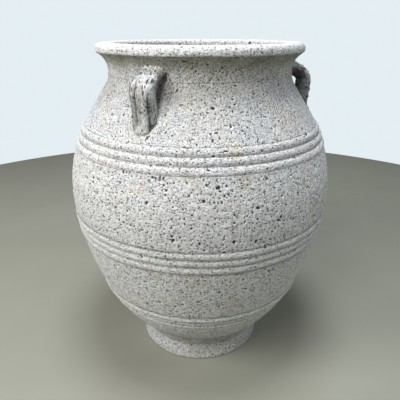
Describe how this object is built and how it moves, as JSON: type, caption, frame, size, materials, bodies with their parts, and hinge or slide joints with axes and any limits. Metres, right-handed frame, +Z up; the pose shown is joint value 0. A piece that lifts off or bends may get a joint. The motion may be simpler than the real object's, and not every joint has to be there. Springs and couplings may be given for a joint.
{
  "type": "amphora",
  "caption": "Large round-bellied amphora with a flared thick rim, short neck, ridged bands, a narrow foot and strap handles between neck and shoulder.",
  "frame": {"origin": "centre of the flat base, on the surface the pot stands on", "axes": "+Z up along the pot's axis of turning; handle_1 points along -Y"},
  "size_m": [0.7654, 0.7654, 0.95],
  "materials": {
    "wall_stone": "matte",
    "band_stone": "matte",
    "handle_stone": "matte"
  },
  "bodies": {
    "root": {"base_disc": "wall_stone", "foot_ring": "wall_stone", "lower_wall": "wall_stone", "middle_wall": "wall_stone", "belly_wall": "wall_stone", "shoulder": "wall_stone", "neck": "wall_stone", "rim": "wall_stone", "lower_band": "band_stone", "middle_band": "band_stone", "upper_band": "band_stone", "handle_1": "handle_stone", "handle_2": "handle_stone", "handle_3": "handle_stone"}
  },
  "joints": []
}
